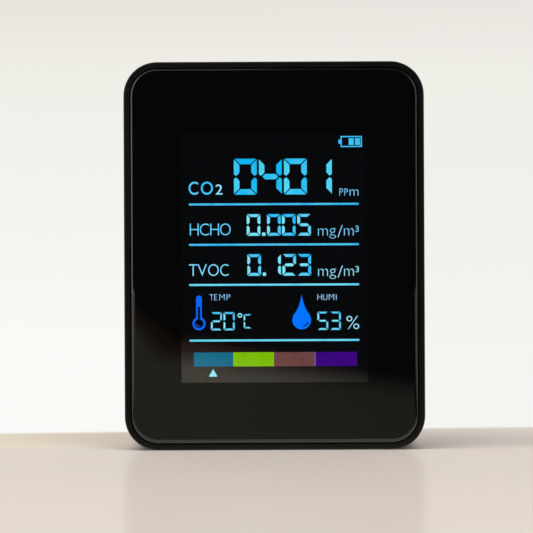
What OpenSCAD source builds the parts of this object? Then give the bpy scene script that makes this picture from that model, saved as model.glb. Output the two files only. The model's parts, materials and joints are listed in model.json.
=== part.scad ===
// Free-standing air quality monitor: a two-piece housing, a backlit display under a flat window,
// gas and climate sensors behind vents, a battery, a charging port and two push buttons at the back.
// X points to the viewer's right, Y to the back, Z up. The origin is the centre of the base.

/* [Body] */
// Width of the body
body_w = 66; // [65.5:0.5:68]
// Height of the body
body_h = 85.3; // [85.3:0.1:87.3]
// Depth of the body
body_d = 25; // [25:0.5:27]
// Radius of the body's four upright corners
corner_r = 7.4; // [7:0.1:8]
// Depth of the front housing, from its rim to the seam
front_d = 15; // [14.5:0.5:15.5]
// Thickness of the housing walls
wall = 1.8; // [1.7:0.1:1.9]
// Radius of the rim's outer edge
front_edge = 0.5; // [0.3:0.1:0.8]
// Radius of the rear cover's outer edge
rear_edge = 2.2; // [1:0.1:2.4]

/* [Window] */
// Width of the rim round the window
rim_w = 1.3; // [1.2:0.1:1.8]
// Gap between the rim and the window
window_gap = 0.1; // [0.1:0.05:0.3]
// Thickness of the window
window_t = 1.6; // [1.4:0.1:1.6]
// How far the window stands out of the rim
window_proud = 0.5; // [0.1:0.1:0.7]
// Radius of the window's rounded front edge
window_edge = 1; // [0.3:0.1:1.2]

/* [Display] */
// Width of the visible display
view_w = 41.1; // [38:0.1:42]
// Height of the visible display
view_h = 55; // [50:0.5:56]
// Height of the visible display's lower edge above the base
view_z = 14.75; // [14.75:0.05:16]

/* [Vents] */
// Rows of vent slots
vent_rows = 6; // [3:1:6]
// Distance from one row to the next
vent_pitch = 3.4; // [3:0.1:3.5]
// Width of a vent slot
vent_slot = 1.6; // [1.2:0.1:1.8]

/* [Buttons] */
// Radius of a button's cap
button_r = 4; // [3.5:0.1:4.5]
// Clearance round a button
button_gap = 0.25; // [0.15:0.05:0.3]
// Travel of a button
button_travel = 0.4; // [0.3:0.05:0.5]

/* [Hidden] */
$fn = 64;
sides = [-1, 1];
over = 1; // how far a cutting shape runs past what it cuts
joined = 0.1; // how far a shape runs into the one that it is part of

// Depths, from the front to the back
window_y = -body_d / 2;
rim_y = window_y + window_proud;
seam_y = rim_y + front_d;
rear_y = body_d / 2;
mask_y = window_y + window_t;
mask_t = 0.1;
mask_inset = rim_w + 0.5;
tape_t = 0.2;
tape_inset = rim_w + 0.7;
tape_margin = 0.5;
seat_y = mask_y + mask_t + tape_t;
bezel_t = 1.6;
bezel_y = seat_y + bezel_t;
film_t = 0.2;
glass_t = 0.7;
guide_t = 2;
tray_t = 0.8;
front_glass_y = seat_y + film_t;
rear_glass_y = front_glass_y + glass_t;
tray_y = rear_glass_y + glass_t;
colour_y = tray_y + film_t;
diffuser_y = colour_y + film_t;
guide_y = diffuser_y + film_t;
reflector_y = guide_y + guide_t;
board_y = reflector_y + film_t + tray_t;
board_t = 1.6;
parts_y = board_y + board_t; // back of the board, where its components stand

// Housing
mid_z = body_h / 2;
recess_w = body_w - 2 * rim_w;
recess_h = body_h - 2 * rim_w;
recess_r = corner_r - rim_w;
lip_t = 0.85;
lip_h = 1.5;
lip_gap = 0.1;
seam_groove = 0.3;
aperture_w = 48;
aperture_z = 9.3;
aperture_h = 64.4;

// Vents
rear_vent_x = 8;
rear_vent_l = 13;
side_vent_l = 4.8;

// Screws
post_x = 26.6;
post_low = 7.5;
post_high = body_h - post_low;
post_r = 2.6;
post_y = seam_y + 1;
well_r = 2.7;
sleeve_r = 3.9;
sleeve_floor = 1.6;
sleeve_skin = 1; // what the sleeves stop short of the rear face
screw_r = 1.2;
screw_clear = 0.2;
screw_l = 8;
screw_head = [2.2, 1.6]; // radius and height
board_hole_x = 27.4;
board_holes_z = [26, 62];
boss_r = 2.1;
board_screw_r = 1;
board_screw_l = 4.6;
board_screw_head = [1.8, 1.2];
cross_w = 0.6;

// Display module
module_w = 47;
module_h = 63;
module_z = 10;
ledge_h = 2.6;
tray_wall = 1;
film_w = 44.6;
film_h = 58;
film_z = 13.7;
led_size = [3.8, 1.2, 1.6];
led_x = [-14, 0, 14];
ribbon_w = 16;
ribbon_t = 0.15;
ribbon_z = 9.55;
ribbon_bend = 1.2;
ribbon_clear = 0.3;
connector_size = [19, 1.6, 3.6];
connector_z = 4.8;

// Main board and its parts
board_w = 60;
board_h = 76.4;
board_z = 4.5;
board_notch = [7, 6.7];
board_top = board_z + board_h;
chip_z = 10;
controller_x = -11;
controller_size = [7, 1, 7];
driver_x = [-1, 9.5];
driver_size = [5, 1.6, 4];
inductor_x = 17.5;
inductor_size = [5, 2.8, 5];
crystal_at = [-20, 13.2];
crystal_size = [5, 1.2, 3.2];
small_size = [1.6, 0.8, 0.8];
small_pitch = 2.6;
// Rows of small components: the first one's place, how many, and which way the row runs
small_rows = [
    [[-9.1, 5.9], 8, [1, 0]],
    [[27, 46.5], 6, [0, 1]],
    [[27.6, 29.6], 4, [0, 1]]
];

// Carbon dioxide sensor
co2_at = [-23, 59.5];
co2_size = [33.9, 19.8];
co2_lift = 2.2;
co2_board_t = 1.2;
co2_board_y = parts_y + co2_lift;
chamber_y = co2_board_y + co2_board_t;
chamber_d = 7.2;
chamber_inset = 1.5;
chamber_r = 3;
chamber_edge = 1.2;
filter_t = 0.4;
filter_inset = 5;
pin_size = 0.7;
pin_pitch = 2.54;
pin_x = 12;
pin_inset = 1.2;

// Round sensors and the climate sensor
round_lift = 0.8;
gas_at = [20, 70];
gas_r = 6.5;
gas_h = 7;
gas_edge = 0.8;
gas_pin_ring = 4;
membrane_r = 4.5;
membrane_t = 0.3;
tvoc_at = [22, 53];
tvoc_r = 4.6;
tvoc_base_h = 2;
tvoc_h = 6;
tvoc_pin_ring = 3;
cap_r = 4.3;
cap_wall = 0.4;
cap_edge = 0.5;
mesh_pitch = 1.35;
mesh_hole_r = 0.35;
round_pin_r = 0.4;
climate_at = [27, 42];
climate_size = [3, 1.1, 3];
climate_hole_r = 0.5;

// Battery
pad_t = 0.5;
cell_size = [30, 8, 40];
cell_x = -25;
cell_z = 16;
cell_y = parts_y + pad_t;
cell_r = 2;
cell_edge = 1.5;
cell_top = cell_z + cell_size[2];
pad_inset = 2;
protection_x = cell_x + 2;
protection_size = [26, 3, 2.4];
lead_r = 0.55;
socket_size = [7, 4.6, 6];
socket_x = 9.4;
socket_z = 40;
plug_size = [5.8, 4, 4];
plug_x = socket_x + (socket_size[0] - plug_size[0]) / 2;
plug_gap = 0.3;
lead_y = parts_y + plug_gap + plug_size[1] / 2;
lead_bend = 2.4;
// How far into the socket and how far above the cell each lead runs
red_lead = [4.5, 1.85];
black_lead = [2.5, 0.65];

// Charging port
port_z = 16.5;
port_w = 8.94;
port_h = 3.26;
port_l = 7.3;
port_wall = 0.3;
port_mouth_x = body_w / 2 - 0.6;
port_y = parts_y + port_h / 2;
port_clear = 0.35;
plug_recess = [12.4, 6.6];
tongue_w = 6.7;
tongue_t = 0.7;
tongue_l = 6.2;
tongue_base = 1.2;

// Buttons and their switches
button_x = 18;
power_z = 34;
set_z = 20;
button_sink = 0.2; // how far a button's cap lies below the rear face
button_top = rear_y - button_sink;
button_edge = 0.5;
flange_r = 5.2;
flange_gap = 0.4;
flange_y = rear_y - wall - flange_gap;
flange_t = 0.9;
stem_r = 2;
dish_r = 6.5;
dish_d = 0.8;
switch_size = [6, 3.5, 6];
plunger_r = 1.75;
plunger_seat_r = 1.95;
plunger_l = 3.5; // what stands out of the switch
plunger_sink = 0.35;
plunger_clear = 0.05;
plunger_seat = plunger_sink + button_travel + plunger_clear;
switch_top = parts_y + switch_size[1];
plunger_top = switch_top + plunger_l;
stem_gap = 0.1;

// Colours
black_plastic = [0.06, 0.06, 0.065];
board_green = [0.05, 0.3, 0.16];
steel = [0.75, 0.75, 0.77];
chip_black = [0.08, 0.08, 0.09];
white_plastic = [0.93, 0.93, 0.9];
dark_glass = [0.1, 0.1, 0.12];

// ---- shapes that repeat ----

// Extrudes an outline drawn in X and Z from depth y, d towards the back.
module slab(y, d) {
    translate([0, y + d, 0]) rotate([90, 0, 0]) linear_extrude(d) children();
}

// A cylinder along Y from depth y, d long, at a place given as [x, z].
module rod(at, y, d, r) {
    translate([at[0], y, at[1]]) rotate([-90, 0, 0]) cylinder(h = d, r = r);
}

module block(at, size) {
    translate(at) cube(size);
}

// A block centred on [x, z] whose front face is at depth y.
module block_on(at, y, size) {
    block([at[0] - size[0] / 2, y, at[1] - size[2] / 2], size);
}

module rounded_rect(w, h, r) {
    square([w - 2 * r, h], center = true);
    square([w, h - 2 * r], center = true);
    for (x = sides, z = sides) translate([x * (w / 2 - r), z * (h / 2 - r)]) circle(r);
}

module stadium(l, w) {
    square([l - w, w], center = true);
    for (x = sides) translate([x * (l - w) / 2, 0]) circle(w / 2);
}

// A plate's cross-section, w wide and d deep, with both corners of its front edge rounded.
module edge_profile(w, d, e) {
    translate([-w / 2, e]) square([w, d - e]);
    translate([e - w / 2, 0]) square([w - 2 * e, d]);
    for (x = sides) translate([x * (w / 2 - e), e]) intersection() {
        circle(e);
        translate([-e, -e]) square([2 * e, e]);
    }
}

// A round post with a rounded front edge, along Y from depth 0 to d.
module soft_post(r, d, e) {
    rotate([-90, 0, 0]) rotate_extrude() intersection() {
        edge_profile(2 * r, d, e);
        square([r, d]);
    }
}

// A rounded plate in X and Z with a rounded front edge, from depth 0 to d.
module soft_plate(w, h, d, r, e) {
    translate([0, 0, r - h / 2]) linear_extrude(h - 2 * r) edge_profile(w, d, e);
    translate([r - w / 2, 0, 0]) rotate([0, 90, 0]) linear_extrude(w - 2 * r) edge_profile(h, d, e);
    for (x = sides, z = sides) translate([x * (w / 2 - r), 0, z * (h / 2 - r)]) soft_post(r, d, e);
}

// A slab with the body's own outline, made smaller by inset all round.
module body_slab(y, d, inset) {
    translate([0, 0, mid_z])
        slab(y, d) rounded_rect(body_w - 2 * inset, body_h - 2 * inset, corner_r - inset);
}

// A rectangular sheet centred in X, standing on height z.
module sheet(w, h, z, y, d) {
    block([-w / 2, y, z], [w, d, h]);
}

module at_posts() {
    for (x = sides, z = [post_low, post_high]) translate([x * post_x, 0, z]) children();
}

module at_board_holes() {
    for (x = sides, z = board_holes_z) translate([x * board_hole_x, 0, z]) children();
}

// A screw driven from the back; the underside of its head is at depth 0.
module screw(r, l, head) {
    difference() {
        union() {
            rod([0, 0], -l, l + joined, r);
            translate([0, head[1], 0]) mirror([0, 1, 0]) soft_post(head[0], head[1], head[1] / 2);
        }
        for (turn = [0, 90]) translate([0, head[1], 0]) rotate([0, turn, 0])
            cube([cross_w, head[1], head[0] * 1.3], center = true);
    }
}

// A wire along X at height z that bends down at x, to end at height end_z. It lies in the plane
// of depth 0.
module bent_wire(start_x, x, z, end_z, bend, r) {
    translate([start_x, 0, z]) rotate([0, 90, 0]) cylinder(h = x - bend - start_x, r = r);
    translate([x - bend, 0, z - bend]) rotate([90, 0, 0])
        rotate_extrude(angle = 90) translate([bend, 0]) circle(r);
    translate([x, 0, end_z]) cylinder(h = z - bend - end_z, r = r);
}

// ---- housing ----

module port_outline(grow) {
    rotate(90) stadium(port_w + 2 * grow, port_h + 2 * grow);
}

// Extrudes an outline of the charging port along X, from x, l long.
module at_port(x, l) {
    translate([x, port_y, port_z]) rotate([90, 0, 90]) linear_extrude(l) children();
}

module front_housing() {
    color(black_plastic) difference() {
        union() {
            difference() {
                translate([0, rim_y, mid_z])
                    soft_plate(body_w, body_h, front_d, corner_r, front_edge);
                translate([0, 0, mid_z])
                    slab(rim_y - over, seat_y - rim_y + over)
                    rounded_rect(recess_w, recess_h, recess_r);
                sheet(aperture_w, aperture_h, aperture_z, seat_y - over, bezel_t + 2 * over);
                body_slab(bezel_y, front_d, wall);
                body_slab(seam_y - lip_h - lip_gap, front_d, wall - lip_t - lip_gap);
            }
            at_posts() rod([0, 0], bezel_y - joined, post_y - bezel_y + joined, post_r);
            at_board_holes() rod([0, 0], bezel_y - joined, board_y - bezel_y + joined, boss_r);
        }
        at_posts() rod([0, 0], post_y - screw_l, screw_l + over, screw_r);
        at_board_holes() rod([0, 0], parts_y - board_screw_l, board_screw_l, board_screw_r);
        at_port(body_w / 2 - wall - over, wall + 2 * over) port_outline(port_clear);
        at_port(port_mouth_x, over) rotate(90) stadium(plug_recess[0], plug_recess[1]);
    }
}

module rear_vents() {
    for (row = [0 : vent_rows - 1], x = sides)
        translate([x * rear_vent_x, 0, post_high - row * vent_pitch])
        slab(rear_y - wall - over, wall + 2 * over) stadium(rear_vent_l, vent_slot);
}

module side_vents() {
    vent_y = (seam_y + rear_y - rear_edge) / 2;
    top_z = post_high - sleeve_r - vent_slot;
    for (row = [0 : vent_rows - 1])
        translate([-body_w, vent_y, top_z - row * vent_pitch])
        rotate([90, 0, 90]) linear_extrude(2 * body_w) stadium(side_vent_l, vent_slot);
}

module at_buttons() {
    for (z = [power_z, set_z]) translate([button_x, 0, z]) children();
}

module rear_cover() {
    color(black_plastic) difference() {
        union() {
            difference() {
                translate([0, rear_y, mid_z]) mirror([0, 1, 0])
                    soft_plate(body_w, body_h, rear_y - seam_y, corner_r, rear_edge);
                body_slab(seam_y - over, rear_y - wall - seam_y + over, wall);
            }
            difference() {
                body_slab(seam_y - lip_h, lip_h + seam_groove, wall - lip_t);
                body_slab(seam_y - lip_h - over, lip_h + 2 * over, wall);
            }
            at_posts() rod([0, 0], post_y, rear_y - sleeve_skin - post_y, sleeve_r);
        }
        difference() {
            body_slab(seam_y, seam_groove, -over);
            body_slab(seam_y - over, seam_groove + 2 * over, seam_groove);
        }
        at_posts() rod([0, 0], post_y + sleeve_floor, body_d, well_r);
        at_posts() rod([0, 0], post_y - over, sleeve_floor + 2 * over, screw_r + screw_clear);
        rear_vents();
        side_vents();
        at_buttons() rod([0, 0], rear_y - wall - over, wall + 2 * over, button_r + button_gap);
        at_buttons() rod([0, 0], rear_y - dish_d, dish_d + over, dish_r);
    }
}

module housing_screws() {
    color(steel) at_posts() translate([0, post_y + sleeve_floor, 0])
        screw(screw_r, screw_l - screw_clear, screw_head);
}

// ---- window ----

module front_window() {
    color([0.7, 0.75, 0.8, 0.4]) translate([0, window_y, mid_z])
        soft_plate(recess_w - 2 * window_gap, recess_h - 2 * window_gap, window_t,
            recess_r - window_gap, window_edge);
}

module window_mask() {
    color([0.01, 0.01, 0.01]) difference() {
        body_slab(mask_y, mask_t, mask_inset);
        sheet(view_w, view_h, view_z, mask_y - over, mask_t + 2 * over);
    }
}

module window_tape() {
    color([0.12, 0.12, 0.12]) difference() {
        body_slab(seat_y - tape_t, tape_t, tape_inset);
        sheet(aperture_w + 2 * tape_margin, aperture_h + 2 * tape_margin, aperture_z - tape_margin,
            mask_y, tape_t + 2 * over);
    }
}

// ---- display ----

module display_film(y) {
    sheet(film_w, film_h, film_z, y, film_t);
}

module front_polariser() {
    color(dark_glass) display_film(seat_y);
}

module lcd_front_glass() {
    color(dark_glass)
        sheet(module_w, module_h - ledge_h, module_z + ledge_h, front_glass_y, glass_t);
}

module lcd_rear_glass() {
    color(dark_glass) sheet(module_w, module_h, module_z, rear_glass_y, glass_t);
}

module rear_polariser() {
    color(dark_glass) display_film(tray_y);
}

module colour_film() {
    color([0.2, 0.5, 0.8]) display_film(colour_y);
}

module diffuser_sheet() {
    color([0.95, 0.95, 0.95]) display_film(diffuser_y);
}

module light_guide() {
    color([0.85, 0.93, 0.97]) sheet(film_w, film_h, film_z, guide_y, guide_t);
}

module reflector_sheet() {
    color([0.9, 0.9, 0.9]) display_film(reflector_y);
}

module backlight_tray() {
    inner_w = module_w - 2 * tray_wall;
    inner_h = module_h - 2 * tray_wall;
    depth = board_y - tray_y;
    color(white_plastic) difference() {
        sheet(module_w, module_h, module_z, tray_y, depth);
        sheet(inner_w, inner_h, module_z + tray_wall, tray_y - over, depth - tray_t + over);
    }
}

module backlight_leds() {
    color([0.98, 0.95, 0.75]) for (x = led_x)
        block_on([x, film_z - led_size[2] / 2], guide_y, led_size);
}

// From the ledge of the rear glass, round the module's lower edge, to the connector on the board.
// Its outline is drawn with depth along X and height along Y.
module display_ribbon() {
    face_y = rear_glass_y - ribbon_t;
    turn_y = board_y - ribbon_bend - ribbon_clear;
    edge_z = ribbon_z + ribbon_t;
    end_z = connector_z + connector_size[2];
    color([0.75, 0.45, 0.12]) translate([ribbon_w / 2, 0, 0]) rotate([90, 0, -90])
        linear_extrude(ribbon_w) mirror([1, 0]) {
            translate([face_y, ribbon_z])
                square([ribbon_t, module_z + ledge_h - ribbon_clear - ribbon_z]);
            translate([face_y, ribbon_z]) square([turn_y - face_y, ribbon_t]);
            translate([turn_y, edge_z - ribbon_bend]) intersection() {
                difference() {
                    circle(ribbon_bend);
                    circle(ribbon_bend - ribbon_t);
                }
                square(ribbon_bend);
            }
            translate([turn_y + ribbon_bend - ribbon_t, end_z])
                square([ribbon_t, edge_z - ribbon_bend - end_z]);
        }
}

module ribbon_connector() {
    color([0.9, 0.88, 0.8]) block([-connector_size[0] / 2, board_y - connector_size[1], connector_z],
        connector_size);
}

// ---- main board ----

module main_board() {
    color(board_green) difference() {
        sheet(board_w, board_h, board_z, board_y, board_t);
        for (x = sides, z = [board_z, board_top])
            block_on([x * board_w / 2, z], board_y - over,
                [2 * board_notch[0], board_t + 2 * over, 2 * board_notch[1]]);
        at_board_holes() rod([0, 0], board_y - over, board_t + 2 * over, board_screw_r + 0.1);
    }
}

module board_screws() {
    color(steel) at_board_holes() translate([0, parts_y, 0])
        screw(board_screw_r, board_screw_l, board_screw_head);
}

module controller_chip() {
    color(chip_black) block_on([controller_x, chip_z], parts_y, controller_size);
}

module driver_chips() {
    color(chip_black) for (x = driver_x) block_on([x, chip_z], parts_y, driver_size);
}

module small_components() {
    color([0.7, 0.6, 0.45]) for (row = small_rows, i = [0 : row[1] - 1])
        block_on(row[0] + i * small_pitch * row[2], parts_y, small_size);
}

module power_inductor() {
    color([0.25, 0.25, 0.27]) block_on([inductor_x, chip_z], parts_y, inductor_size);
}

module clock_crystal() {
    color(steel) block_on(crystal_at, parts_y, crystal_size);
}

// ---- sensors ----

module co2_sensor_board() {
    color([0.1, 0.2, 0.45])
        block([co2_at[0], co2_board_y, co2_at[1]], [co2_size[0], co2_board_t, co2_size[1]]);
}

module co2_sensor_chamber() {
    color([0.85, 0.75, 0.5])
        translate([co2_at[0] + co2_size[0] / 2, chamber_y + chamber_d, co2_at[1] + co2_size[1] / 2])
        mirror([0, 1, 0])
        soft_plate(co2_size[0] - 2 * chamber_inset, co2_size[1] - 2 * chamber_inset, chamber_d,
            chamber_r, chamber_edge);
}

module co2_sensor_filter() {
    color([0.96, 0.96, 0.94])
        block([co2_at[0] + filter_inset, chamber_y + chamber_d, co2_at[1] + filter_inset],
            [co2_size[0] - 2 * filter_inset, filter_t, co2_size[1] - 2 * filter_inset]);
}

module co2_sensor_pins() {
    color([0.85, 0.7, 0.3]) for (i = [0 : 3], z = [pin_inset, co2_size[1] - pin_inset])
        block_on([co2_at[0] + pin_x + i * pin_pitch, co2_at[1] + z], parts_y,
            [pin_size, co2_lift, pin_size]);
}

module formaldehyde_sensor() {
    color([0.88, 0.88, 0.9]) translate([gas_at[0], parts_y + round_lift + gas_h, gas_at[1]])
        mirror([0, 1, 0]) soft_post(gas_r, gas_h, gas_edge);
}

module formaldehyde_membrane() {
    color([0.97, 0.97, 0.97]) rod(gas_at, parts_y + round_lift + gas_h, membrane_t, membrane_r);
}

module tvoc_sensor_base() {
    color([0.15, 0.15, 0.16]) rod(tvoc_at, parts_y + round_lift, tvoc_base_h, tvoc_r);
}

// A can closed by a disc with ring-shaped rows of small holes.
module tvoc_sensor_cap() {
    can_y = parts_y + round_lift + tvoc_base_h;
    can_h = tvoc_h - tvoc_base_h;
    color([0.72, 0.7, 0.66]) difference() {
        translate([tvoc_at[0], can_y + can_h, tvoc_at[1]]) mirror([0, 1, 0])
            soft_post(cap_r, can_h, cap_edge);
        rod(tvoc_at, can_y - over, can_h - cap_wall + over, cap_r - cap_wall);
        for (ring = [1 : 2], i = [0 : 6 * ring - 1]) {
            angle = i * 360 / (6 * ring);
            rod(tvoc_at + ring * mesh_pitch * [cos(angle), sin(angle)], can_y, can_h + over, mesh_hole_r);
        }
    }
}

module pin_circle(at, count, ring) {
    for (i = [0 : count - 1]) {
        angle = i * 360 / count;
        rod(at + ring * [cos(angle), sin(angle)], parts_y, round_lift, round_pin_r);
    }
}

module round_sensor_pins() {
    color([0.85, 0.7, 0.3]) {
        pin_circle(gas_at, 3, gas_pin_ring);
        pin_circle(tvoc_at, 4, tvoc_pin_ring);
    }
}

module climate_sensor() {
    color([0.2, 0.2, 0.22]) difference() {
        block_on(climate_at, parts_y, climate_size);
        rod(climate_at, parts_y + climate_size[1] / 2, over, climate_hole_r);
    }
}

// ---- battery ----

module battery_cell() {
    color([0.78, 0.8, 0.82]) translate([cell_x + cell_size[0] / 2, cell_y + cell_size[1],
        cell_z + cell_size[2] / 2]) mirror([0, 1, 0])
        soft_plate(cell_size[0], cell_size[2], cell_size[1], cell_r, cell_edge);
}

module battery_pad() {
    color([0.2, 0.2, 0.2]) block([cell_x + pad_inset, parts_y, cell_z + pad_inset],
        [cell_size[0] - 2 * pad_inset, pad_t, cell_size[2] - 2 * pad_inset]);
}

module battery_protection_board() {
    color([0.85, 0.6, 0.15])
        block([protection_x, lead_y - protection_size[1] / 2, cell_top], protection_size);
}

// One lead, from the protection board's end, across and down into the plug.
module battery_lead(at) {
    translate([0, lead_y, 0]) bent_wire(protection_x + protection_size[0], socket_x + at[0],
        cell_top + at[1], socket_z + socket_size[2] + plug_size[2], lead_bend, lead_r);
}

module battery_lead_red() {
    color([0.8, 0.08, 0.06]) battery_lead(red_lead);
}

module battery_lead_black() {
    color([0.05, 0.05, 0.05]) battery_lead(black_lead);
}

module battery_plug() {
    color(white_plastic) block([plug_x, parts_y + plug_gap, socket_z + socket_size[2]],
        plug_size);
}

module battery_socket() {
    color(white_plastic) block([socket_x, parts_y, socket_z], socket_size);
}

// ---- charging port ----

module usb_port_shell() {
    color(steel) difference() {
        at_port(port_mouth_x - port_l, port_l) port_outline(0);
        at_port(port_mouth_x - port_l + port_wall, port_l) port_outline(-port_wall);
    }
}

module usb_port_tongue() {
    color(chip_black) {
        at_port(port_mouth_x - port_l + port_wall, tongue_l) square([tongue_t, tongue_w], center = true);
        at_port(port_mouth_x - port_l + port_wall, tongue_base) port_outline(-port_wall);
    }
}

// ---- buttons and switches ----

module switch_body(z) {
    color(chip_black) difference() {
        block_on([button_x, z], parts_y, switch_size);
        rod([button_x, z], switch_top - plunger_seat, over + plunger_seat, plunger_seat_r);
    }
}

module switch_plunger(z) {
    color([0.3, 0.3, 0.32])
        rod([button_x, z], switch_top - plunger_sink, plunger_top - switch_top + plunger_sink, plunger_r);
}

module push_button(z) {
    color([0.1, 0.1, 0.11]) {
        translate([button_x, button_top, z]) mirror([0, 1, 0])
            soft_post(button_r, button_top - flange_y, button_edge);
        rod([button_x, z], flange_y - flange_t, flange_t, flange_r);
        rod([button_x, z], plunger_top + stem_gap, flange_y - plunger_top - stem_gap, stem_r);
    }
}

module power_switch_body() { switch_body(power_z); }
module set_switch_body() { switch_body(set_z); }
module power_switch_plunger() { switch_plunger(power_z); }
module set_switch_plunger() { switch_plunger(set_z); }
module power_button() { push_button(power_z); }
module set_button() { push_button(set_z); }

front_housing();
rear_cover();
front_window();
window_mask();
window_tape();
front_polariser();
lcd_front_glass();
lcd_rear_glass();
rear_polariser();
colour_film();
diffuser_sheet();
light_guide();
reflector_sheet();
backlight_tray();
backlight_leds();
display_ribbon();
ribbon_connector();
main_board();
controller_chip();
driver_chips();
small_components();
power_inductor();
clock_crystal();
co2_sensor_board();
co2_sensor_chamber();
co2_sensor_filter();
co2_sensor_pins();
formaldehyde_sensor();
formaldehyde_membrane();
tvoc_sensor_base();
tvoc_sensor_cap();
round_sensor_pins();
climate_sensor();
battery_cell();
battery_protection_board();
battery_pad();
battery_lead_red();
battery_lead_black();
battery_plug();
battery_socket();
usb_port_shell();
usb_port_tongue();
power_switch_body();
set_switch_body();
power_switch_plunger();
set_switch_plunger();
power_button();
set_button();
housing_screws();
board_screws();
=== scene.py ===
"""Looks of the air quality monitor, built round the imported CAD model.

Everything is in metres in the CAD frame: X to the viewer's right, Y to the back, Z up, with the
origin at the centre of the base. The display's own drawing is laid out in millimetres.
"""
import json
import math

import bmesh
import bpy
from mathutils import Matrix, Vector
from mathutils.geometry import tessellate_polygon


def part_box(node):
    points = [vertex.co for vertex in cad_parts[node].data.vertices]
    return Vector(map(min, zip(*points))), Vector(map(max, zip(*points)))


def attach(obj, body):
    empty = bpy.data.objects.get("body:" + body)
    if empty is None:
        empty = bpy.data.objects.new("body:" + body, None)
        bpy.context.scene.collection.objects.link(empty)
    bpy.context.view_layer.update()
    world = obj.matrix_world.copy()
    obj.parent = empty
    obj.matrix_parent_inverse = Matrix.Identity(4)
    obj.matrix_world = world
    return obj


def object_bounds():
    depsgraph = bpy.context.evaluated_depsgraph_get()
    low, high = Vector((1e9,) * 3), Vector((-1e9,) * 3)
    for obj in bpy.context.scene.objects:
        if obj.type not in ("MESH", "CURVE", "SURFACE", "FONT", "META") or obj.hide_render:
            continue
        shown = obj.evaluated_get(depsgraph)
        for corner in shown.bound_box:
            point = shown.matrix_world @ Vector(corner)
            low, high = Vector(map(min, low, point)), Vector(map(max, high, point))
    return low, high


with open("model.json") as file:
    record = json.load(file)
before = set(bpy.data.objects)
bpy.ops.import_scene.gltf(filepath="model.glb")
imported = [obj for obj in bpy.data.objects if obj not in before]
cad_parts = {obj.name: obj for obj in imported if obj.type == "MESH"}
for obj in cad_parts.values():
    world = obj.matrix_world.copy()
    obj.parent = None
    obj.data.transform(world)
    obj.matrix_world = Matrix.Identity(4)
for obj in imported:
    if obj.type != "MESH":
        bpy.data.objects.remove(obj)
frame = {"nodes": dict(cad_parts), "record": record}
cad_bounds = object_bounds()

MM = 0.001
HOUSING = "housing"
SIDES = (-1, 1)


# ---- camera ----

SHOT_DISTANCE = 0.510
SHOT_WIDTH = 0.11686
EYE_HEIGHT = 0.0403
EYE_ACROSS = -0.00173
ROLL = math.radians(0.26)


def make_camera():
    """A long lens, about level with the middle of the monitor and square to its front."""
    data = bpy.data.cameras.new("camera")
    data.sensor_width = 36
    data.lens = data.sensor_width * SHOT_DISTANCE / SHOT_WIDTH
    data.dof.use_dof = False
    camera = bpy.data.objects.new("camera", data)
    front = cad_bounds[0].y
    camera.location = (EYE_ACROSS, front - SHOT_DISTANCE, EYE_HEIGHT)
    camera.rotation_euler = (math.pi / 2, ROLL, 0)
    bpy.context.scene.collection.objects.link(camera)
    bpy.context.scene.camera = camera


# ---- node helpers ----

def linear(red, green, blue):
    """An sRGB colour, 0 to 255, as linear light."""
    def one(c):
        c /= 255
        return c / 12.92 if c <= 0.04045 else ((c + 0.055) / 1.055) ** 2.4
    return (one(red), one(green), one(blue), 1)


class Nodes:
    """A short way to build a node tree, of a new material or of a world."""

    def __init__(self, name, world=None):
        self.owner = world or bpy.data.materials.new(name)
        self.owner.use_nodes = True
        self.tree = self.owner.node_tree
        self.tree.nodes.clear()
        self.output = self.add("ShaderNodeOutputWorld" if world else "ShaderNodeOutputMaterial")

    def add(self, kind, settings=None, **inputs):
        node = self.tree.nodes.new(kind)
        for key, value in (settings or {}).items():
            setattr(node, key, value)
        for key, value in inputs.items():
            self.put(node.inputs[key.replace("_", " ")], value)
        return node

    def put(self, socket, value):
        if isinstance(value, bpy.types.NodeSocket):
            self.tree.links.new(value, socket)
        elif isinstance(value, bpy.types.Node):
            self.tree.links.new(value.outputs[0], socket)
        else:
            socket.default_value = value

    def math(self, operation, a, b=0.0):
        node = self.add("ShaderNodeMath", {"operation": operation})
        self.put(node.inputs[0], a)
        self.put(node.inputs[1], b)
        return node.outputs[0]

    def ramp(self, value, low, high, start=0.0, end=1.0):
        """value taken from low..high to start..end, smoothly and clamped."""
        node = self.add("ShaderNodeMapRange", {"interpolation_type": "SMOOTHSTEP"})
        for key, item in zip(("Value", "From Min", "From Max", "To Min", "To Max"),
                             (value, low, high, start, end)):
            self.put(node.inputs[key], item)
        return node.outputs[0]

    def line(self, value, low, high):
        """value taken from low..high to 0..1, evenly and clamped."""
        node = self.add("ShaderNodeMapRange")
        for key, item in zip(("Value", "From Min", "From Max"), (value, low, high)):
            self.put(node.inputs[key], item)
        return node.outputs[0]

    def blend(self, factor, a, b, kind="MIX"):
        """Colour a turning into colour b."""
        node = self.add("ShaderNodeMix", {"data_type": "RGBA", "blend_type": kind})
        self.put(node.inputs[0], factor)
        self.put(node.inputs[6], a)
        self.put(node.inputs[7], b)
        return node.outputs[2]

    def place(self):
        """Where the point is in the object's own metres."""
        return self.add("ShaderNodeTexCoord").outputs["Object"]

    def noise(self, scale, detail=3.0, roughness=0.55, vector=None):
        node = self.add("ShaderNodeTexNoise", Scale=scale, Detail=detail, Roughness=roughness)
        self.put(node.inputs["Vector"], vector or self.place())
        return node.outputs["Fac"]

    def bump(self, height, distance, strength=1.0):
        return self.add("ShaderNodeBump", Height=height, Distance=distance, Strength=strength).outputs[0]

    def mix_shaders(self, factor, a, b):
        node = self.add("ShaderNodeMixShader")
        for socket, item in zip(node.inputs, (factor, a, b)):
            self.put(socket, item)
        return node.outputs[0]

    def surface(self, shader):
        self.put(self.output.inputs["Surface"], shader)
        return self.owner


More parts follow.
